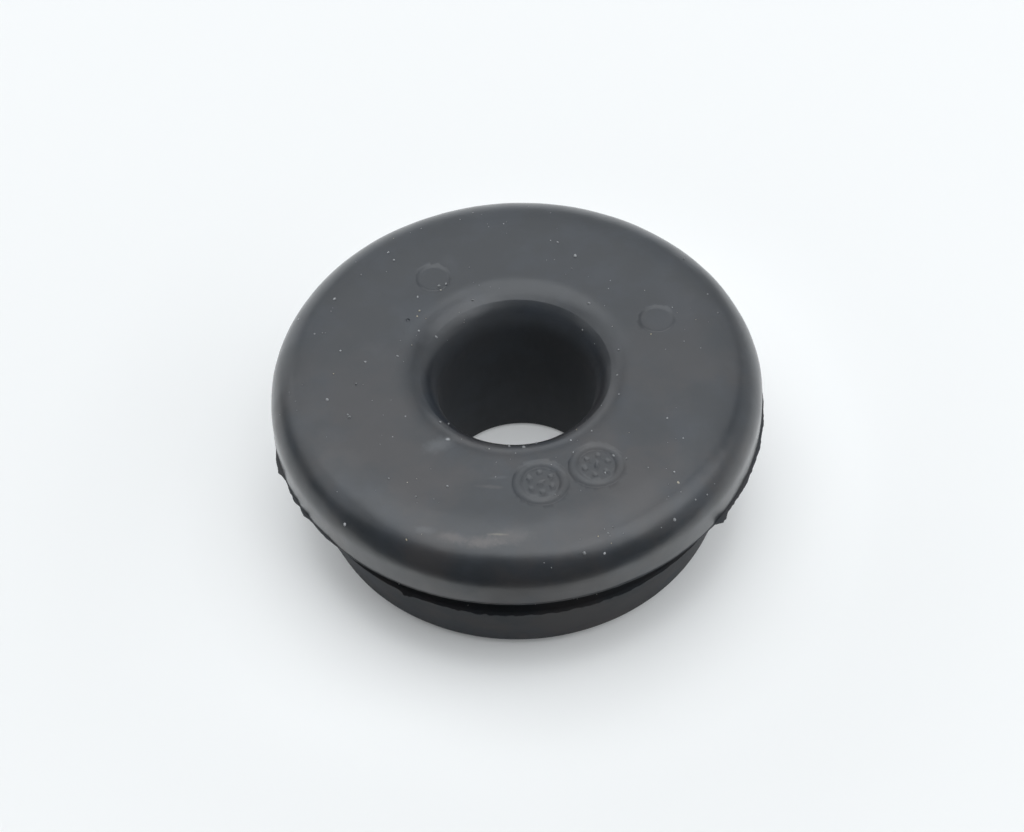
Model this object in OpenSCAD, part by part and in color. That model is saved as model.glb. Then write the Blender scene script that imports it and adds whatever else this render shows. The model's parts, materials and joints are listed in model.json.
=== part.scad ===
// Rubber grommet, moulded in one piece. It snaps into a round hole in a panel
// and lines it, so that a cable can pass through without chafing.
// The frame stands on the foot: the origin is the foot's centre, +Z runs up the bore.

/* [Bore] */
// Diameter of the straight bore that the cable passes through
bore_d = 9; // [4:0.5:14]
// Radius that rounds over the bore's upper mouth
mouth_round = 2.4; // [0.5:0.1:2.8]
// Radius that rounds over the bore's lower mouth
exit_round = 0.4; // [0.1:0.1:0.9]

/* [Panel groove] */
// Diameter of the panel hole, and of the groove's root
panel_hole_d = 22; // [20:0.5:40]
// Thickness of the panel, and width of the groove
panel_t = 2.6; // [1:0.1:5]
// Fillet radius in both root corners of the groove
root_round = 0.4; // [0.1:0.1:0.9]

/* [Upper flange] */
// Reach of the upper flange past the groove's root
flange_overhang = 3; // [2:0.1:6]
// Thickness of the upper flange, from its seat to its flat top
flange_t = 3.6; // [3:0.1:6]
// Radius that rounds over the flange's upper rim
rim_round = 2; // [0.5:0.1:2.1]
// Width of the crowned band between the flat top and the rounded rim
crown_w = 1.6; // [0.5:0.1:2.5]
// Slope of the crowned band where it meets the rounded rim, in degrees
crown_angle = 11.5; // [4:0.5:20]

/* [Lower flange] */
// Reach of the lower flange's sharp lip past the groove's root
lip_overhang = 1.85; // [1:0.05:4]
// Height of the lower flange, from the foot to its lip
tail_h = 4.7; // [3:0.1:8]
// Taper of the lower flange's side, which leads it into the hole, in degrees
lead_angle = 16; // [5:1:25]
// Radius that rounds the foot's outer edge
foot_round = 1.3; // [0.3:0.1:1.8]

/* [Hidden] */
$fn = 180;

// How far a shape runs past the surface that trims it
overrun = 1;
// How far a rounding stands proud of the walls that it runs into, so that they cross cleanly
blend = 0.0002;
// How far a rounding's sector runs on past its ends, inside the walls, in degrees
lap_angle = 10;

// The most of its wall's height that a rounding takes up
rim_limit_share = 0.6;
mouth_limit_share = 0.8;
foot_limit_share = 0.4;
root_limit_share = 0.4;
exit_limit_share = 0.2;
rim_r = min(rim_round, rim_limit_share * flange_t);
mouth_r = min(mouth_round, mouth_limit_share * flange_t);
foot_r = min(foot_round, foot_limit_share * tail_h);
root_r = min(root_round, root_limit_share * panel_t);
exit_r = min(exit_round, exit_limit_share * tail_h);

// Radii of the walls
bore_wall_r = bore_d / 2;
root_wall_r = panel_hole_d / 2;
flange_wall_r = root_wall_r + flange_overhang;
lip_wall_r = root_wall_r + lip_overhang;

// Levels above the foot
lip_z = tail_h;
seat_z = lip_z + panel_t;
top_z = seat_z + flange_t;

// Centres of the roundings, as [radius, height]
mouth_c = [bore_wall_r + mouth_r, top_z - mouth_r];
exit_c = [bore_wall_r + exit_r, exit_r];
rim_c = [flange_wall_r - rim_r, top_z - rim_r - crown_w * tan(crown_angle / 2)];
seat_root_c = [root_wall_r + root_r, seat_z - root_r];
lip_root_c = [root_wall_r + root_r, lip_z + root_r];
foot_c = [lip_wall_r - (lip_z - foot_r) * tan(lead_angle) - foot_r / cos(lead_angle), foot_r];

// The crowned band is an arc, level where it leaves the flat top and tangent to the rounded rim
crown_slope = [sin(crown_angle), cos(crown_angle)];
crown_r = rim_r + crown_w / crown_slope[0];
crown_c = [rim_c[0] - crown_w, top_z - crown_r];
crown_end = rim_c + rim_r * crown_slope;

// Where the tapered side leaves the foot's rounded edge
lead_end = foot_c + foot_r * [cos(lead_angle), -sin(lead_angle)];

// The straight walls of the section, with a bevel at each corner that is rounded
module walls() {
    polygon([
        [exit_c[0], 0],
        [foot_c[0], 0],
        lead_end,
        [lip_wall_r, lip_z],
        [lip_root_c[0], lip_z],
        [root_wall_r, lip_root_c[1]],
        [root_wall_r, seat_root_c[1]],
        [seat_root_c[0], seat_z],
        [flange_wall_r, seat_z],
        [flange_wall_r, rim_c[1]],
        crown_end,
        [crown_c[0], top_z],
        [mouth_c[0], top_z],
        [bore_wall_r, mouth_c[1]],
        [bore_wall_r, exit_c[1]]
    ]);
}

// One rounding: a sector of a disc, from one angle to another and a lap past both
module rounding(centre, radius, start, end) {
    reach = 2 * radius;
    first = start - lap_angle;
    last = end + lap_angle;
    middle = (first + last) / 2;
    translate(centre) intersection() {
        circle(radius);
        polygon([
            [0, 0],
            reach * [cos(first), sin(first)],
            reach * [cos(middle), sin(middle)],
            reach * [cos(last), sin(last)]
        ]);
    }
}

// The gently falling band between the flat top and the rounded rim
module crown() {
    trim = rim_c + (rim_r + overrun) * crown_slope;
    intersection() {
        translate(crown_c) circle(crown_r + blend);
        polygon([
            [mouth_c[0], rim_c[1]],
            rim_c,
            trim,
            [mouth_c[0], trim[1]]
        ]);
    }
}

// Half of the grommet's cross-section
module section() {
    difference() {
        union() {
            walls();
            crown();
            rounding(mouth_c, mouth_r + blend, 90, 180);
            rounding(rim_c, rim_r + blend + blend, 0, 90 - crown_angle);
            rounding(exit_c, exit_r + blend, 180, 270);
            rounding(foot_c, foot_r + blend, 270, 360 - lead_angle);
        }
        rounding(seat_root_c, root_r + blend, 90, 180);
        rounding(lip_root_c, root_r + blend, 180, 270);
    }
}

// The whole grommet, one moulding in black rubber
module grommet() {
    color("#2b2d2f") rotate_extrude() section();
}

grommet();
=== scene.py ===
import json
import math

import bpy
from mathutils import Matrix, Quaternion, Vector


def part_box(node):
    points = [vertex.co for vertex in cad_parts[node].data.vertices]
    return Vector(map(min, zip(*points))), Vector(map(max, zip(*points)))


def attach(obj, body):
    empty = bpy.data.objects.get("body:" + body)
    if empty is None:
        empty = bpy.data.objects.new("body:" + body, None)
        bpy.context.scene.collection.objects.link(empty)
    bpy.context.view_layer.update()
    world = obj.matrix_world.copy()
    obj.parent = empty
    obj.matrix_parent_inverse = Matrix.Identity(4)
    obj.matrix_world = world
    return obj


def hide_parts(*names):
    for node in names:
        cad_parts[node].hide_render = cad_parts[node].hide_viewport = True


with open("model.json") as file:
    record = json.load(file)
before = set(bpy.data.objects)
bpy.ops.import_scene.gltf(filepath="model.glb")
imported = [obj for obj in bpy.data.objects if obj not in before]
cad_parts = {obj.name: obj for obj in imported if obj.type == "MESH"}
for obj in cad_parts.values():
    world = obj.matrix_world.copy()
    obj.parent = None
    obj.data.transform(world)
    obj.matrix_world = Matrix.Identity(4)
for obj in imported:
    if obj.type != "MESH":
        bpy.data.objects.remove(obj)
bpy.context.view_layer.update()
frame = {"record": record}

# The view: a close photograph of the part as it lies on its narrow end, taken from half way up.
# Lens, distance, aim and roll are those at which both flanges and the bore fall where the photograph
# has them. The camera is placed from the middle of the seat, the face that lies on the panel.
MM = 0.001
mounts = {mount["name"]: mount for mount in frame["record"]["mounts"]}
groove_width = mounts["panel_groove"]["dims"]["length_mm"] * MM
groove_level = mounts["panel_groove"]["pos_m"][2]
seat_level = groove_level + groove_width / 2
lip_level = groove_level - groove_width / 2

image_width = 1024
focal_pixels = 2736.5
sensor_width = 36
nearest_seen = 1 * MM
view_height_angle = math.radians(50.3)
view_distance = 157.26 * MM
view_aim = Vector((-0.32 * MM, -0.72 * MM, seat_level))
view_roll = math.radians(-2.7)

camera = bpy.data.objects.new("photo_view", bpy.data.cameras.new("photo_view"))
bpy.context.collection.objects.link(camera)
camera.data.sensor_width = sensor_width
camera.data.lens = sensor_width * focal_pixels / image_width
camera.data.clip_start = nearest_seen
back_and_up = Vector((0, -math.cos(view_height_angle), math.sin(view_height_angle)))
camera.location = Vector((0, 0, seat_level)) + view_distance * back_and_up
looking = (view_aim - camera.location).to_track_quat("-Z", "Y")
camera.rotation_mode = "QUATERNION"
camera.rotation_quaternion = looking @ Quaternion((0, 0, 1), view_roll)
bpy.context.scene.camera = camera


# The rubber: black vulcanised compound, satin from a polished mould, with a thin film of wax on it.
# A bloom clouds it in cool and warm greys, warmer and paler towards the front, the tool leaves a fine grain,
# handling has scuffed the top, pale patches along the front ridge are painted highlight, and a little dust
# lies where dust can settle.
def feed(tree, socket, value):
    """Links another node's socket in, or sets a plain value."""
    if isinstance(value, bpy.types.NodeSocket):
        tree.links.new(value, socket)
    else:
        socket.default_value = value


def add(tree, kind, inputs=None, **settings):
    """A new node with its settings made and its inputs fed. Gives its first output."""
    made = tree.nodes.new(kind)
    for name, value in settings.items():
        setattr(made, name, value)
    for name, value in (inputs or {}).items():
        feed(tree, made.inputs[name], value)
    return made.outputs[0]


def calc(tree, operation, *values):
    """A Math node on sockets or numbers."""
    return add(tree, "ShaderNodeMath", dict(enumerate(values)), operation=operation)


def ramp(tree, value, low, high):
    """Runs smoothly from 0 where the value is low to 1 where it is high."""
    limits = {"Value": value, "From Min": low, "From Max": high}
    return add(tree, "ShaderNodeMapRange", limits, interpolation_type="SMOOTHSTEP")


def noise(tree, place, size, detail=2.0, coarse=0.5):
    """Noise from 0 to 1 whose features have about that size, given as a number or a socket."""
    scale = calc(tree, "DIVIDE", 1.0, size) if isinstance(size, bpy.types.NodeSocket) else 1 / size
    settings = {"Vector": place, "Scale": scale, "Detail": detail, "Roughness": coarse}
    return add(tree, "ShaderNodeTexNoise", settings)


def mixed(tree, share, low, high):
    """Two colours mixed by a share."""
    made = add(tree, "ShaderNodeMix", {0: share, 6: low, 7: high}, data_type="RGBA")
    return made.node.outputs[2]


def aside(tree, x=0.0, y=0.0, z=0.0):
    """A vector of three sockets or numbers."""
    return add(tree, "ShaderNodeCombineXYZ", {"X": x, "Y": y, "Z": z})


def axes_of(tree, vector):
    """The X, Y and Z of a vector."""
    return add(tree, "ShaderNodeSeparateXYZ", {0: vector}).node.outputs


def length_of(tree, vector):
    """How long a vector is."""
    return add(tree, "ShaderNodeVectorMath", {0: vector}, operation="LENGTH").node.outputs["Value"]


def object_place(tree):
    """Where a point of a surface lies, in the part's own frame."""
    return add(tree, "ShaderNodeTexCoord").node.outputs["Object"]


def shader_group(name, inputs, outputs):
    """A shader node group with named sockets: the tree, what comes in and what goes out."""
    tree = bpy.data.node_groups.new(name, "ShaderNodeTree")
    for label, value in inputs.items():
        kind = "NodeSocketColor" if isinstance(value, tuple) else "NodeSocketFloat"
        tree.interface.new_socket(label, in_out="INPUT", socket_type=kind).default_value = value
    for label, kind in outputs.items():
        tree.interface.new_socket(label, in_out="OUTPUT", socket_type=kind)
    return tree, tree.nodes.new("NodeGroupInput").outputs, tree.nodes.new("NodeGroupOutput").inputs


skin, skin_in, skin_out = shader_group(
    "Moulded rubber skin",
    {
        "Rubber": (0.0160, 0.0198, 0.0248, 1.0),
        "Cool bloom": (0.0206, 0.0258, 0.0336, 1.0),
        "Warm bloom": (0.0318, 0.0300, 0.0316, 1.0),
        "Roughness low": 0.33,
        "Roughness high": 0.43,
        "Lower roughness": 0.9,
        "Bore roughness": 0.78,
        "Wax": 0.85,
    },
    {
        "Color": "NodeSocketColor",
        "Roughness": "NodeSocketFloat",
        "Wax": "NodeSocketFloat",
        "Height": "NodeSocketFloat",
    },
)
skin_place = object_place(skin)
skin_axes = axes_of(skin, skin_place)
cloudy = {"detail": 5.0, "coarse": 0.6}
cool_cloud = 2.6 * MM
warm_cloud = 4.5 * MM
polish_cloud = 1.6 * MM
cool = ramp(skin, noise(skin, skin_place, cool_cloud, **cloudy), 0.42, 0.66)
cooled = mixed(skin, cool, skin_in["Rubber"], skin_in["Cool bloom"])

# The bloom is warmer and paler in patches towards the front
warm_from = 10 * MM
warm_most = -8 * MM
toward_front = ramp(skin, skin_axes["Y"], warm_from, warm_most)
warm_patches = ramp(skin, noise(skin, skin_place, warm_cloud, **cloudy), 0.38, 0.62)
warm = calc(skin, "MULTIPLY", toward_front, warm_patches)
feed(skin, skin_out["Color"], mixed(skin, warm, cooled, skin_in["Warm bloom"]))

# The core pin and the lower half of the mould are coarser than the polished upper half
polish = add(
    skin,
    "ShaderNodeMapRange",
    {
        "Value": noise(skin, skin_place, polish_cloud, **cloudy),
        "From Min": 0.3,
        "From Max": 0.7,
        "To Min": skin_in["Roughness low"],
        "To Max": skin_in["Roughness high"],
    },
)
bore_radius = mounts["cable_bore"]["dims"]["r_mm"] * MM
bore_finish_start = bore_radius + 0.5 * MM
bore_finish_full = bore_radius + 0.1 * MM
from_axis = length_of(skin, aside(skin, skin_axes["X"], skin_axes["Y"]))
in_bore = ramp(skin, from_axis, bore_finish_start, bore_finish_full)
below_groove = ramp(skin, skin_axes["Z"], groove_level, lip_level)
lower_half = {"Factor": below_groove, "A": polish, "B": skin_in["Lower roughness"]}
both_halves = add(skin, "ShaderNodeMix", lower_half)
core_pin = {"Factor": in_bore, "A": both_halves, "B": skin_in["Bore roughness"]}
feed(skin, skin_out["Roughness"], add(skin, "ShaderNodeMix", core_pin))
polished = calc(skin, "SUBTRACT", 1.0, calc(skin, "MAXIMUM", in_bore, below_groove))
feed(skin, skin_out["Wax"], calc(skin, "MULTIPLY", polished, skin_in["Wax"]))

tool_grain_size = 0.09 * MM
flow_mark_size = 0.9 * MM
flow_mark_share = 2.5
tool_grain = noise(skin, skin_place, tool_grain_size, detail=3.0, coarse=0.6)
flow_marks = calc(skin, "MULTIPLY", noise(skin, skin_place, flow_mark_size, detail=3.0), flow_mark_share)
feed(skin, skin_out["Height"], calc(skin, "ADD", tool_grain, flow_marks))

film, film_in, film_out = shader_group(
    "Settled dust film", {"Bare below": 0.55}, {"Mask": "NodeSocketFloat"}
)
dust_patch_size = 2.8 * MM
dust_speck_size = 0.16 * MM
dust_speck_share = 0.35
film_place = object_place(film)
film_facing = axes_of(film, add(film, "ShaderNodeTexCoord").node.outputs["Normal"])
lying = ramp(film, film_facing["Z"], 0.3, 0.95)
patchy = noise(film, film_place, dust_patch_size, detail=6.0, coarse=0.7)
patches = ramp(film, patchy, film_in["Bare below"], 0.85)
specks = ramp(film, noise(film, film_place, dust_speck_size), 0.66, 0.80)
settled = calc(film, "MAXIMUM", patches, calc(film, "MULTIPLY", specks, dust_speck_share))
feed(film, film_out["Mask"], calc(film, "MULTIPLY", lying, settled))


def scuff_and_sheen_mask(tree, middle, length, width, turn):
    """A hazy patch on the top face that fades out to a broken edge."""
    depth = 1 * MM
    break_size = 0.35 * MM
    break_share = 0.9
    clear_at = 1.45
    full_at = 0.55
    spot = object_place(tree)
    offset = add(tree, "ShaderNodeVectorMath", {0: spot, 1: middle}, operation="SUBTRACT")
    turned = add(tree, "ShaderNodeVectorRotate", {"Vector": offset, "Angle": turn}, rotation_type="Z_AXIS")
    scale = (2 / length, 2 / width, 1 / depth)
    shares = add(tree, "ShaderNodeVectorMath", {0: turned, 1: scale}, operation="MULTIPLY")
    broken = calc(tree, "MULTIPLY", noise(tree, spot, break_size, detail=4.0, coarse=0.7), break_share)
    return ramp(tree, calc(tree, "ADD", length_of(tree, shares), broken), clear_at, full_at)


def rubber_finish(name, dust_share, relief_depth, waxed, scuffs_and_sheen=(), **tones):
    """A material of moulded rubber, scuffed in places, with painted highlight in others, under its film of
    dust.
    """
    rubber_ior = 1.63
    wax_ior = 1.26
    wax_roughness = 0.27
    dust_tone = (0.30, 0.30, 0.29, 1.0)
    dust_roughness = 0.6
    material = bpy.data.materials.new(name)
    material.use_nodes = True
    tree = material.node_tree
    shader = tree.nodes["Principled BSDF"].inputs
    shader["IOR"].default_value = rubber_ior
    rubber = add(tree, "ShaderNodeGroup", tones, node_tree=skin).node.outputs
    if waxed:
        shader["Coat IOR"].default_value = wax_ior
        shader["Coat Roughness"].default_value = wax_roughness
        feed(tree, shader["Coat Weight"], rubber["Wax"])
    tone = rubber["Color"]
    # Scuffs, and pale patches that are painted highlight
    for middle, length, width, turn, share, haze in scuffs_and_sheen:
        mask = scuff_and_sheen_mask(tree, middle, length, width, math.radians(turn))
        tone = mixed(tree, calc(tree, "MULTIPLY", mask, share), tone, haze)
    dusty = calc(tree, "MULTIPLY", add(tree, "ShaderNodeGroup", node_tree=film), dust_share)
    feed(tree, shader["Base Color"], mixed(tree, dusty, tone, dust_tone))
    dulled = calc(tree, "MULTIPLY", dusty, dust_roughness)
    feed(tree, shader["Roughness"], calc(tree, "ADD", rubber["Roughness"], dulled))
    relief = {"Strength": 1.0, "Distance": relief_depth, "Height": rubber["Height"]}
    feed(tree, shader["Normal"], add(tree, "ShaderNodeBump", relief))
    return material


top_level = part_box("grommet")[1].z
cool_haze_and_sheen = (0.120, 0.128, 0.136, 1.0)
warm_haze_and_sheen = (0.126, 0.109, 0.102, 1.0)
pale_scratch = (0.34, 0.35, 0.36, 1.0)
tan_sheen_streak = (0.19, 0.17, 0.13, 1.0)


def on_top(x, y):
    """A place on the top face, given in millimetres from the bore's axis."""
    return (x * MM, y * MM, top_level)


# A hazy smudge beside the bore, wisps in front of it, and pale patches along the front ridge, which are
# painted highlight standing in for the ridge's warm, patchy sheen, each with its place, length, width, turn
# in degrees, strength and colour
scuffs_and_sheen = (
    (on_top(-4.4, -5.5), 2.8 * MM, 1.4 * MM, -20, 0.40, cool_haze_and_sheen),
    (on_top(-3.9, -5.1), 0.35 * MM, 0.30 * MM, 0, 1.0, pale_scratch),
    (on_top(-1.7, -8.6), 2.2 * MM, 0.35 * MM, 8, 0.25, warm_haze_and_sheen),
    (on_top(-1.2, -8.0), 1.6 * MM, 0.30 * MM, 0, 0.20, cool_haze_and_sheen),
    # Painted highlight: these pale patches and the streak along the front ridge stand in for its warm, patchy
    # sheen
    (on_top(-5.3, -11.2), 1.6 * MM, 0.7 * MM, 12, 0.35, cool_haze_and_sheen),
    (on_top(-3.8, -11.8), 2.2 * MM, 0.9 * MM, 12, 0.50, warm_haze_and_sheen),
    (on_top(-2.2, -12.2), 3.2 * MM, 1.0 * MM, 4, 0.60, warm_haze_and_sheen),
    (on_top(-0.7, -12.0), 3.4 * MM, 1.3 * MM, 0, 0.35, warm_haze_and_sheen),
    (on_top(-1.3, -11.8), 1.5 * MM, 0.20 * MM, 5, 0.55, tan_sheen_streak),
)
dust_film_share = 0.05
moulded_relief = 0.0025 * MM
moulded_rubber = rubber_finish("moulded rubber", dust_film_share, moulded_relief, True, scuffs_and_sheen)


# The grommet itself: one compression moulding. Its section is turned about the bore, with the crowned
# flange above the panel's groove and the tapered one, which leads it into the hole, below. The mould's
# dials and ejector pins leave shallow marks in the flange, beside one pit of trapped air.
flange_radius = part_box("grommet")[1].x
groove_radius = mounts["panel_groove"]["dims"]["r_mm"] * MM
lip_radius = groove_radius + 1.85 * MM
mouth_round = 2.4 * MM
exit_round = 0.4 * MM
root_round = 0.4 * MM
rim_round = 2.0 * MM
foot_round = 1.3 * MM
crown_width = 1.6 * MM
crown_angle = math.radians(11.5)
lead_angle = math.radians(16)


def arc(centre, radius, start, end, step=6):
    """Points of a round stretch of the section. Angles run outwards from straight up, in degrees."""
    count = math.ceil(abs(end - start) / step)
    points = []
    for i in range(count + 1):
        angle = math.radians(start + (end - start) * i / count)
        points.append(Vector((centre[0] + radius * math.sin(angle), 0, centre[1] + radius * math.cos(angle))))
    return points


def filled_in(corners, step):
    """A closed outline with its long straight stretches cut into steps."""
    points = []
    for here, there in zip(corners, corners[1:] + corners[:1]):
        count = math.ceil((there - here).length / step)
        points += [here.lerp(there, i / count) for i in range(count)]
    return points


mouth_centre = (bore_radius + mouth_round, top_level - mouth_round)
exit_centre = (bore_radius + exit_round, exit_round)
rim_centre = (flange_radius - rim_round, top_level - rim_round - crown_width * math.tan(crown_angle / 2))
crown_radius = rim_round + crown_width / math.sin(crown_angle)
crown_centre = (rim_centre[0] - crown_width, top_level - crown_radius)
crown_end = math.degrees(crown_angle)
seat_root_centre = (groove_radius + root_round, seat_level - root_round)
lip_root_centre = (groove_radius + root_round, lip_level + root_round)
lead_in = (lip_level - foot_round) * math.tan(lead_angle) + foot_round / math.cos(lead_angle)
foot_centre = (lip_radius - lead_in, foot_round)
lead_end = 90 + math.degrees(lead_angle)

# The core pin's joint with the cavity leaves a fine raised line round the mouth, in degrees of its rounding
joint_line_angle = -38
joint_line_half_width = 1.3
joint_line_crest = 0.5
joint_line_rise = 0.003 * MM
joint_line_start = joint_line_angle - joint_line_half_width
joint_line_end = joint_line_angle + joint_line_half_width

small_round_step = 15
foot_step = 9
crown_step = 2
outline = (
    arc(exit_centre, exit_round, 180, 270, small_round_step)
    + arc(mouth_centre, mouth_round, -90, joint_line_start)
    + arc(mouth_centre, mouth_round + joint_line_rise, joint_line_angle, joint_line_angle + joint_line_crest)
    + arc(mouth_centre, mouth_round, joint_line_end, 0)
    + arc(crown_centre, crown_radius, 0, crown_end, crown_step)
    + arc(rim_centre, rim_round, crown_end, 90)[1:]
    + [Vector((flange_radius, 0, seat_level))]
    + arc(seat_root_centre, root_round, 0, -90, small_round_step)
    + arc(lip_root_centre, root_round, -90, -180, small_round_step)
    + [Vector((lip_radius, 0, lip_level))]
    + arc(foot_centre, foot_round, lead_end, 180, foot_step)
)


def section_mesh(name, points):
    """A closed outline as a mesh of edges."""
    mesh = bpy.data.meshes.new(name)
    mesh.from_pydata(points, [(i, (i + 1) % len(points)) for i in range(len(points))], [])
    return mesh


def begin_tree(name, **sizes):
    """A Geometry Nodes tree with a geometry input and its named sizes, where a whole number is a count."""
    tree = bpy.data.node_groups.new(name, "GeometryNodeTree")
    tree.interface.new_socket("Geometry", in_out="INPUT", socket_type="NodeSocketGeometry")
    for label, value in sizes.items():
        kind = "NodeSocketInt" if isinstance(value, int) else "NodeSocketFloat"
        socket = tree.interface.new_socket(label.replace("_", " "), in_out="INPUT", socket_type=kind)
        socket.default_value = value
    tree.interface.new_socket("Geometry", in_out="OUTPUT", socket_type="NodeSocketGeometry")
    return tree, tree.nodes.new("NodeGroupInput").outputs


def end_tree(tree, geometry, material=None):
    """Ends a tree, and gives its result a material where it makes a piece."""
    if material:
        realized = add(tree, "GeometryNodeRealizeInstances", {"Geometry": geometry})
        geometry = add(tree, "GeometryNodeSetMaterial", {"Geometry": realized, "Material": material})
    tree.links.new(geometry, tree.nodes.new("NodeGroupOutput").inputs["Geometry"])


def made_by(tree, name, mesh, **sizes):
    """The piece that a tree makes of a mesh, as a plain mesh with no modifier."""
    sharp_edge_angle = math.radians(45)
    piece = bpy.data.objects.new(name, mesh)
    bpy.context.collection.objects.link(piece)
    modifier = piece.modifiers.new(tree.name, "NODES")
    modifier.node_group = tree
    for item in tree.interface.items_tree:
        if item.in_out == "INPUT" and item.name.replace(" ", "_") in sizes:
            modifier[item.identifier] = sizes[item.name.replace(" ", "_")]
    evaluated = piece.evaluated_get(bpy.context.evaluated_depsgraph_get())
    piece.data = bpy.data.meshes.new_from_object(evaluated)
    piece.modifiers.clear()
    piece.data.name = name
    if piece.data.materials[0] is None:
        piece.data.materials.pop(index=0)
    piece.data.shade_smooth()
    piece.data.set_sharp_from_angle(angle=sharp_edge_angle)
    return piece


def moved(tree, geometry, place=(0, 0, 0), turn=(0, 0, 0)):
    """A geometry turned and then put in its place."""
    inputs = {"Geometry": geometry, "Translation": place, "Rotation": turn}
    return add(tree, "GeometryNodeTransform", inputs)


def round_line(tree, sides, radius):
    """A circle with that many sides."""
    return add(tree, "GeometryNodeCurvePrimitiveCircle", {"Resolution": sides, "Radius": radius})


def swept(tree, line, profile):
    """A profile swept round a level line."""
    level_line = add(tree, "GeometryNodeSetCurveNormal", {"Curve": line}, mode="Z_UP")
    return add(tree, "GeometryNodeCurveToMesh", {"Curve": level_line, "Profile Curve": profile})


def ball(tree, radius, subdivisions):
    """A ball of even triangles."""
    return add(tree, "GeometryNodeMeshIcoSphere", {"Radius": radius, "Subdivisions": subdivisions})


def joined(tree, *parts):
    """Several geometries as one."""
    together = add(tree, "GeometryNodeJoinGeometry")
    for part in parts:
        tree.links.new(part, together.node.inputs["Geometry"])
    return together


turning, turn_in = begin_tree("Turn a section", Segments=480, Ring_radius=groove_radius)
inward = calc(turning, "MULTIPLY", turn_in["Ring radius"], -1.0)
flat_section = moved(turning, turn_in["Geometry"], aside(turning, inward), (math.pi / 2, 0, 0))
section_line = add(turning, "GeometryNodeMeshToCurve", {"Mesh": flat_section})
ring = round_line(turning, turn_in["Segments"], turn_in["Ring radius"])
end_tree(turning, swept(turning, ring, section_line))

moulding, mould_in = begin_tree(
    "Moulded grommet",
    Segments=480,
    Waviness=0.075 * MM,
    Wave_length=3.0 * MM,
    Mark_depth=0.07 * MM,
    Tool_radius=0.62 * MM,
    Dial_radius=1.30 * MM,
    Dial_dots=6,
    Dot_ring_radius=0.68 * MM,
    Dot_radius=0.38 * MM,
    Dot_depth=0.04 * MM,
    Pointer_length=0.80 * MM,
    Pointer_width=0.34 * MM,
    Pin_radius=0.95 * MM,
    Pin_flare=0.25 * MM,
    Pin_height=0.20 * MM,
    Pin_depth=0.06 * MM,
    Pit_radius=0.13 * MM,
)
blank_sizes = {"Geometry": mould_in["Geometry"], "Segments": mould_in["Segments"]}
blank = add(moulding, "GeometryNodeGroup", blank_sizes, node_tree=turning)
position = add(moulding, "GeometryNodeInputPosition")
wave = noise(moulding, position, mould_in["Wave length"])
off_the_foot = ramp(moulding, axes_of(moulding, position)["Z"], 0.0, foot_round)
swell = calc(moulding, "MULTIPLY", calc(moulding, "SUBTRACT", wave, 0.5), off_the_foot)
wave_rise = calc(moulding, "MULTIPLY", swell, mould_in["Waviness"])
outward = {0: add(moulding, "GeometryNodeInputNormal"), "Scale": wave_rise}
lift = add(moulding, "ShaderNodeVectorMath", outward, operation="SCALE")
wavy = add(moulding, "GeometryNodeSetPosition", {"Geometry": blank, "Offset": lift})


def sunk(shape, drop, depth):
    """A cutter that reaches down to a depth, when its lowest point is that drop below its middle."""
    return moved(moulding, shape, aside(moulding, z=calc(moulding, "SUBTRACT", drop, depth)))


tool_sides = 96
mark_sides = 72
fine_ball = 4
finest_ball = 5
tool = round_line(moulding, tool_sides, mould_in["Tool radius"])
dial_ring = swept(moulding, round_line(moulding, mark_sides, mould_in["Dial radius"]), tool)
dot = ball(moulding, mould_in["Dot radius"], fine_ball)
dot_sizes = {"Vertices": mould_in["Dial dots"], "Radius": mould_in["Dot ring radius"]}
dot_places = {
    "Points": add(moulding, "GeometryNodeMeshCircle", dot_sizes),
    "Instance": sunk(dot, mould_in["Dot radius"], mould_in["Dot depth"]),
}
egg_size = aside(moulding, mould_in["Pointer length"], mould_in["Pointer width"], mould_in["Tool radius"])
egg = {"Geometry": ball(moulding, 1.0, finest_ball), "Scale": egg_size}
pointer = add(moulding, "GeometryNodeTransform", egg)
dial_parts = joined(
    moulding,
    sunk(dial_ring, mould_in["Tool radius"], mould_in["Mark depth"]),
    add(moulding, "GeometryNodeInstanceOnPoints", dot_places),
    sunk(pointer, mould_in["Tool radius"], mould_in["Dot depth"]),
)
dial = add(moulding, "GeometryNodeRealizeInstances", {"Geometry": dial_parts})
pin = add(
    moulding,
    "GeometryNodeMeshCone",
    {
        "Vertices": mark_sides,
        "Side Segments": 1,
        "Fill Segments": 6,
        "Radius Top": calc(moulding, "ADD", mould_in["Pin radius"], mould_in["Pin flare"]),
        "Radius Bottom": mould_in["Pin radius"],
        "Depth": mould_in["Pin height"],
    },
)
pin_mark = sunk(pin, 0.0, mould_in["Pin depth"])
pit = sunk(ball(moulding, mould_in["Pit radius"], fine_ball), mould_in["Pit radius"], mould_in["Mark depth"])

# Each mark's cutter, its distance from the bore's axis, its bearing and its own turn, in degrees
marks = (
    (dial, 8.55 * MM, -82.5, 35),
    (dial, 8.55 * MM, -60.5, 80),
    (pin_mark, 8.30 * MM, 123, 0),
    (pin_mark, 8.74 * MM, 20.3, 0),
    (pit, 7.12 * MM, 148, 0),
)
cut = add(moulding, "GeometryNodeMeshBoolean", {"Mesh 1": wavy}, operation="DIFFERENCE", solver="MANIFOLD")
for cutter, out, bearing, turn in marks:
    angle = math.radians(bearing)
    where = (out * math.cos(angle), out * math.sin(angle), top_level)
    placed = moved(moulding, cutter, where, (0, 0, math.radians(turn)))
    moulding.links.new(placed, cut.node.inputs["Mesh 2"])
end_tree(moulding, cut, moulded_rubber)

section_step = 0.3 * MM
grommet_section = section_mesh("grommet section", filled_in(outline, section_step))
grommet = made_by(moulding, "grommet_moulding", grommet_section)
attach(grommet, "root")
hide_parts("grommet")


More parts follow.
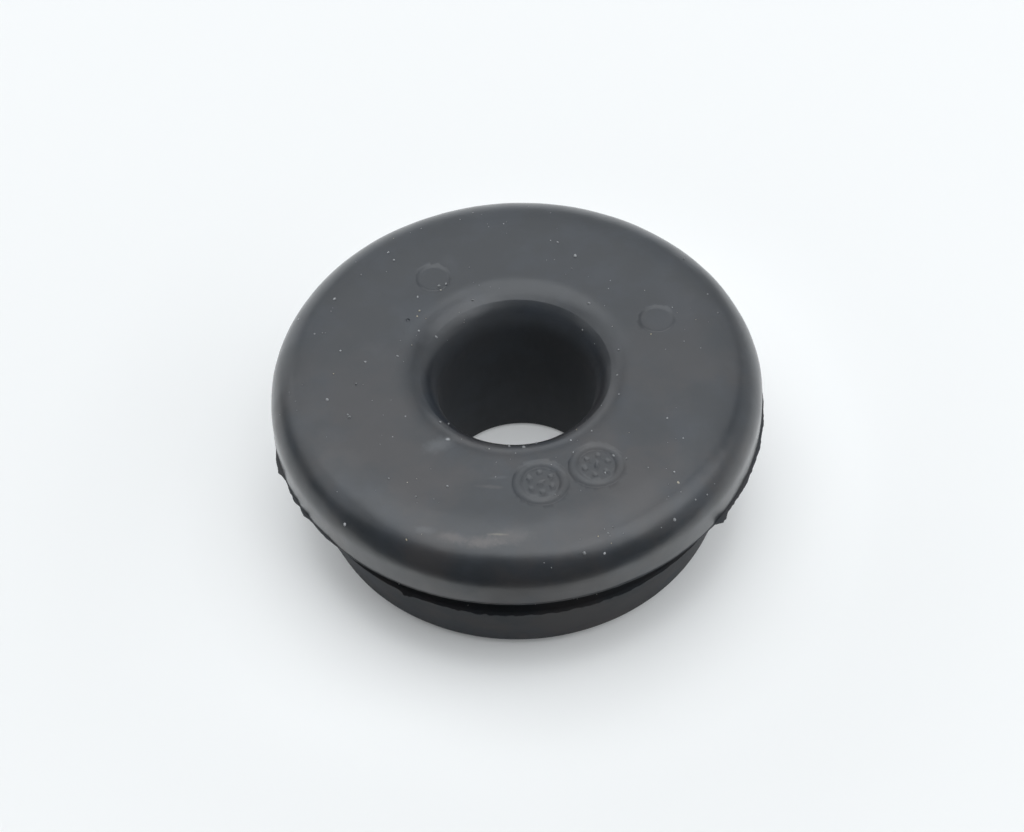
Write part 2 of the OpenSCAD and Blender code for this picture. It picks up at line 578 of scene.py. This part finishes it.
# The flash: rubber that crept into the mould's parting joints and was torn off by hand when the part
# was trimmed. It is left as thin ragged fins on the flange's lower corner and on the lip below the groove.
torn_relief = 0.010 * MM
torn_tones = {"Roughness low": 0.50, "Roughness high": 0.62}
torn_rubber = rubber_finish("torn rubber", dust_film_share, torn_relief, False, **torn_tones)


def drawn_curve(tree, value, points, handles):
    """A curve drawn through points from 0 to 1, read at a value."""
    made = add(tree, "ShaderNodeFloatCurve", {"Value": value})
    curve = made.node.mapping.curves[0]
    curve.points[0].location = points[0]
    curve.points[1].location = points[-1]
    for across, up in points[1:-1]:
        curve.points.new(across, up)
    for point in curve.points:
        point.handle_type = handles
    made.node.mapping.update()
    return made


flashing, flash_in = begin_tree(
    "Mould flash",
    Segments=1440,
    Corner_radius=flange_radius,
    Reach=0.26 * MM,
    Turn_share=0.0,
    Tear=0.30,
    Tear_length=0.60 * MM,
    Sag=0.08 * MM,
)
strip_sizes = {
    "Geometry": flash_in["Geometry"],
    "Segments": flash_in["Segments"],
    "Ring radius": flash_in["Corner radius"],
}
strip = add(flashing, "GeometryNodeGroup", strip_sizes, node_tree=turning)
fin_axes = axes_of(flashing, add(flashing, "GeometryNodeInputPosition"))
fin_angle = calc(flashing, "ARCTAN2", fin_axes["Y"], fin_axes["X"])
fin_bearing = calc(flashing, "DIVIDE", fin_angle, 2 * math.pi)
past_zero = calc(flashing, "ADD", flash_in["Turn share"], 1.0)
round_share = calc(flashing, "FRACT", calc(flashing, "ADD", fin_bearing, past_zero))

# How much of the fin the trimming left, by the bearing in degrees
trimmed = (
    (0, 0.5), (20, 0.4), (38, 0.0), (66, 0.1), (74, 0.7), (96, 0.5), (104, 0.05), (140, 0.1),
    (150, 0.5), (160, 0.0), (190, 0.1), (194, 1.1), (197, 1.2), (200, 0.1), (206, 0.8), (208, 0.2),
    (211, 0.9), (213, 0.1), (220, 0.4), (223, 0.1), (270, 0.1), (316, 0.1), (319.6, 0.2),
    (320.2, 1.4), (322.0, 1.3), (322.8, 0.7), (340, 0.7), (360, 0.5),
)
most_left = 2.0
left_points = [(degrees / 360, share / most_left) for degrees, share in trimmed]
left_share = drawn_curve(flashing, round_share, left_points, "VECTOR")
left_on = calc(flashing, "MULTIPLY", left_share, most_left)

level_spot = aside(flashing, fin_axes["X"], fin_axes["Y"])
ragged = noise(flashing, level_spot, flash_in["Tear length"])
nicked = ramp(flashing, ragged, 0.36, 0.64)
torn = calc(flashing, "SUBTRACT", 1.0, calc(flashing, "MULTIPLY", flash_in["Tear"], nicked))
reach = calc(flashing, "MULTIPLY", left_on, calc(flashing, "MULTIPLY", torn, flash_in["Reach"]))
tip = add(flashing, "GeometryNodeInputNamedAttribute", {"Name": "tip"}, data_type="FLOAT")
away = add(flashing, "ShaderNodeVectorMath", {0: level_spot}, operation="NORMALIZE")
out_by = {0: away, "Scale": calc(flashing, "MULTIPLY", tip, reach)}
stretched = add(flashing, "ShaderNodeVectorMath", out_by, operation="SCALE")
tip_sag = calc(flashing, "MULTIPLY", tip, flash_in["Sag"])
droop = calc(flashing, "MULTIPLY", calc(flashing, "SUBTRACT", ragged, 0.5), tip_sag)
drawn = add(flashing, "ShaderNodeVectorMath", {0: stretched, 1: aside(flashing, z=droop)}, operation="ADD")
fins = add(flashing, "GeometryNodeSetPosition", {"Geometry": strip, "Offset": drawn})
end_tree(flashing, fins, torn_rubber)


def flash(name, radius, level, **sizes):
    """One ragged fin round a corner. Its root is sunk in the rubber, and its tip is drawn out by the tree."""
    root = 0.15 * MM
    root_half = 0.06 * MM
    tip_half = 0.025 * MM
    rise = 0.05 * MM
    middle = level + rise
    points = [
        Vector((radius - root, 0, middle - root_half)),
        Vector((radius - root, 0, middle + root_half)),
        Vector((radius, 0, middle + tip_half)),
        Vector((radius, 0, middle - tip_half)),
    ]
    mesh = section_mesh(name, points)
    mesh.attributes.new("tip", "FLOAT", "POINT").data.foreach_set("value", (0.0, 0.0, 1.0, 1.0))
    fin = made_by(flashing, name, mesh, Corner_radius=radius, **sizes)
    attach(fin, "root")


lip_fin_level = lip_level - 0.02 * MM
flash("flange_flash", flange_radius, seat_level)
flash("lip_flash", lip_radius, lip_fin_level, Reach=0.17 * MM, Turn_share=0.23, Tear=0.7)


# The dust: grains of grit and lint that the part has picked up in a drawer. They lie loose on what
# faces up, thicker in some places than in others, with a few short fibres among them.
lint_dark = (0.23, 0.235, 0.24, 1.0)
lint_pale = (0.44, 0.45, 0.46, 1.0)
lint_tan = (0.50, 0.44, 0.31, 1.0)
lint_roughness = 0.9
shade_size = 0.4 * MM
tint_size = 1.2 * MM
lint = bpy.data.materials.new("lint and grit")
lint.use_nodes = True
lint_tree = lint.node_tree
lint_shader = lint_tree.nodes["Principled BSDF"].inputs
lint_shader["Roughness"].default_value = lint_roughness
lint_place = object_place(lint_tree)
lint_light = ramp(lint_tree, noise(lint_tree, lint_place, shade_size), 0.42, 0.68)
lint_grey = mixed(lint_tree, lint_light, lint_dark, lint_pale)
lint_warm = ramp(lint_tree, noise(lint_tree, lint_place, tint_size), 0.58, 0.70)
feed(lint_tree, lint_shader["Base Color"], mixed(lint_tree, lint_warm, lint_grey, lint_tan))

dusting, dust_in = begin_tree(
    "Settled dust",
    Grains_per_area=1.0 / MM**2,
    Grain_least=0.029 * MM,
    Grain_most=0.105 * MM,
    Fibres_per_area=0.005 / MM**2,
    Fibre_length=0.4 * MM,
    Fibre_radius=0.011 * MM,
    Seed=7,
)
drift_size = 5.0 * MM
slope = axes_of(dusting, add(dusting, "GeometryNodeInputNormal"))["Z"]
drift = ramp(dusting, noise(dusting, add(dusting, "GeometryNodeInputPosition"), drift_size), 0.35, 0.75)
holds = calc(dusting, "MULTIPLY", ramp(dusting, slope, 0.2, 0.8), drift)


def scatter(density, seed):
    """Points strewn over the upward faces."""
    inputs = {
        "Mesh": dust_in["Geometry"],
        "Density": calc(dusting, "MULTIPLY", density, holds),
        "Seed": seed,
    }
    return add(dusting, "GeometryNodeDistributePointsOnFaces", inputs)


def chance(low, high, seed, kind="FLOAT"):
    """A random number or vector for each point."""
    made = add(dusting, "FunctionNodeRandomValue", data_type=kind).node
    low_input, high_input, output = {"FLOAT_VECTOR": (0, 1, 0), "FLOAT": (2, 3, 1)}[kind]
    feed(dusting, made.inputs[low_input], low)
    feed(dusting, made.inputs[high_input], high)
    feed(dusting, made.inputs["Seed"], seed)
    return made.outputs[output]


full_turn = 2 * math.pi
small_grain_power = 4.0
any_way = chance((0, 0, 0), (full_turn, full_turn, full_turn), seed=3, kind="FLOAT_VECTOR")
small_mostly = calc(dusting, "POWER", chance(0.0, 1.0, seed=5), small_grain_power)
spread = calc(dusting, "SUBTRACT", dust_in["Grain most"], dust_in["Grain least"])
grain_size = calc(dusting, "ADD", dust_in["Grain least"], calc(dusting, "MULTIPLY", spread, small_mostly))
uneven = chance((0.6, 0.6, 0.6), (1.4, 1.2, 1.2), seed=9, kind="FLOAT_VECTOR")
grain_form = {0: uneven, "Scale": grain_size}
grain_places = {
    "Points": scatter(dust_in["Grains per area"], dust_in["Seed"]),
    "Instance": ball(dusting, 1.0, 1),
    "Rotation": any_way,
    "Scale": add(dusting, "ShaderNodeVectorMath", grain_form, operation="SCALE"),
}
grains = add(dusting, "GeometryNodeInstanceOnPoints", grain_places)

hair_bend = math.radians(75)
hair_points = 9
hair_sides = 5
hair_seed = calc(dusting, "ADD", dust_in["Seed"], 4)
bend = {"Resolution": hair_points, "Radius": dust_in["Fibre length"], "Sweep Angle": hair_bend}
hair_form = {
    "Curve": add(dusting, "GeometryNodeCurveArc", bend, mode="RADIUS"),
    "Profile Curve": round_line(dusting, hair_sides, dust_in["Fibre radius"]),
    "Fill Caps": True,
}
hair = add(dusting, "GeometryNodeCurveToMesh", hair_form)
to_its_end = aside(dusting, calc(dusting, "MULTIPLY", dust_in["Fibre length"], -1.0))
hair_places = {
    "Points": scatter(dust_in["Fibres per area"], hair_seed),
    "Instance": moved(dusting, hair, to_its_end),
    "Rotation": aside(dusting, z=chance(0.0, full_turn, seed=13)),
}
hairs = add(dusting, "GeometryNodeInstanceOnPoints", hair_places)
end_tree(dusting, joined(dusting, grains, hairs), lint)

dust = made_by(dusting, "settled_dust", grommet.data.copy())
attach(dust, "root")


# The studio: a pale seamless sheet under the part, six soft lights overhead, beside and behind it, and
# a dim room all round. The paper gives off a little painted light, most in the half shadow round the part,
# and a dark card in front, which only reflections see, is painted shade that stands for the unlit side that
# the camera is on.
def level_sheet(name, low, high, level, material):
    """A level rectangle of the stage between two corners."""
    mesh = bpy.data.meshes.new(name)
    corners = [(low[0], low[1]), (high[0], low[1]), (high[0], high[1]), (low[0], high[1])]
    mesh.from_pydata([(x, y, level) for x, y in corners], [], [(0, 1, 2, 3)])
    mesh.materials.append(material)
    laid = bpy.data.objects.new(name, mesh)
    bpy.context.collection.objects.link(laid)
    return laid


paper = bpy.data.materials.new("pale sheet")
paper.use_nodes = True
paper_tree = paper.node_tree
paper_shader = paper_tree.nodes["Principled BSDF"].inputs
paper_shader["Base Color"].default_value = (0.782, 0.779, 0.768, 1)
paper_shader["Roughness"].default_value = 0.8
paper_shader["Specular IOR Level"].default_value = 0.1
paper_shader["Emission Color"].default_value = (0.925, 0.955, 0.970, 1)
rays = add(paper_tree, "ShaderNodeLightPath").node.outputs
mirrored = calc(paper_tree, "MAXIMUM", rays["Is Glossy Ray"], rays["Is Transmission Ray"])
seen = calc(paper_tree, "MAXIMUM", rays["Is Camera Ray"], mirrored)

# Painted light: how much white the paper gives off where the camera and reflections see it, by the distance
# from the bore's axis in millimetres. It is most in the half shadow round the part, and lifts that shadow.
shadow_lift = ((0, 0.20), (5, 0.20), (12, 0.14), (14, 0.24), (17, 0.23), (20, 0.185), (24, 0.135), (30, 0.12))
shadow_lift_reach = shadow_lift[-1][0]
glow_points = [(distance / shadow_lift_reach, share) for distance, share in shadow_lift]
from_bore = calc(paper_tree, "DIVIDE", length_of(paper_tree, object_place(paper_tree)), shadow_lift_reach * MM)
glow = drawn_curve(paper_tree, from_bore, glow_points, "AUTO")
feed(paper_tree, paper_shader["Emission Strength"], calc(paper_tree, "MULTIPLY", seen, glow))

sheet_half = 4.0
level_sheet("sheet", (-sheet_half, -sheet_half), (sheet_half, sheet_half), 0, paper)

# Painted shade: a dark card that only reflections see, standing for the unlit side where the camera is
shade_card = bpy.data.materials.new("painted shade card")
shade_card.use_nodes = True
shade_card.node_tree.nodes["Principled BSDF"].inputs["Base Color"].default_value = (0.05, 0.05, 0.05, 1)
card_half = 0.4
card_front = -0.60
card_back = -19.7 * MM
card_level = 1 * MM
dark_side = level_sheet("dark_side", (-card_half, card_front), (card_half, card_back), card_level, shade_card)
dark_side.visible_camera = False
dark_side.visible_diffuse = False
dark_side.visible_shadow = False


def soft_light(name, bearing, height_angle, distance, width, length, radiance):
    """A rectangular soft light that faces the part. Bearings run from straight behind it to the right."""
    light = bpy.data.lights.new(name, "AREA")
    light.shape = "RECTANGLE"
    light.size = width
    light.size_y = length
    light.energy = radiance * math.pi * width * length
    light.color = (0.966, 1.0, 1.032)
    lamp = bpy.data.objects.new(name, light)
    around = math.radians(bearing)
    up = math.radians(height_angle)
    out = Vector((math.sin(around) * math.cos(up), math.cos(around) * math.cos(up), math.sin(up)))
    lamp.location = out * distance
    lamp.rotation_mode = "QUATERNION"
    lamp.rotation_quaternion = out.to_track_quat("Z", "Y")
    bpy.context.collection.objects.link(lamp)


# Bearing and height in degrees, distance and size in metres, and radiance, at which 1 is white
soft_light("overhead_softbox", -90, 83, 0.60, 0.64, 0.54, 1.84)
soft_light("right_window", 112, 53, 0.60, 0.56, 0.42, 1.98)
soft_light("left_window", -69, 40, 0.65, 0.70, 0.30, 1.12)
soft_light("back_softbox", 8, 50, 0.65, 0.64, 0.41, 0.87)
soft_light("back_wall", -14, 10, 0.80, 1.25, 0.40, 0.92)
soft_light("right_wall", 78, 18, 0.80, 1.50, 0.50, 0.52)

room = bpy.data.worlds.new("dim room")
room.use_nodes = True
room.node_tree.nodes["Background"].inputs["Color"].default_value = (0.116, 0.120, 0.123, 1)
bpy.context.scene.world = room
bpy.context.scene.view_settings.view_transform = "Standard"
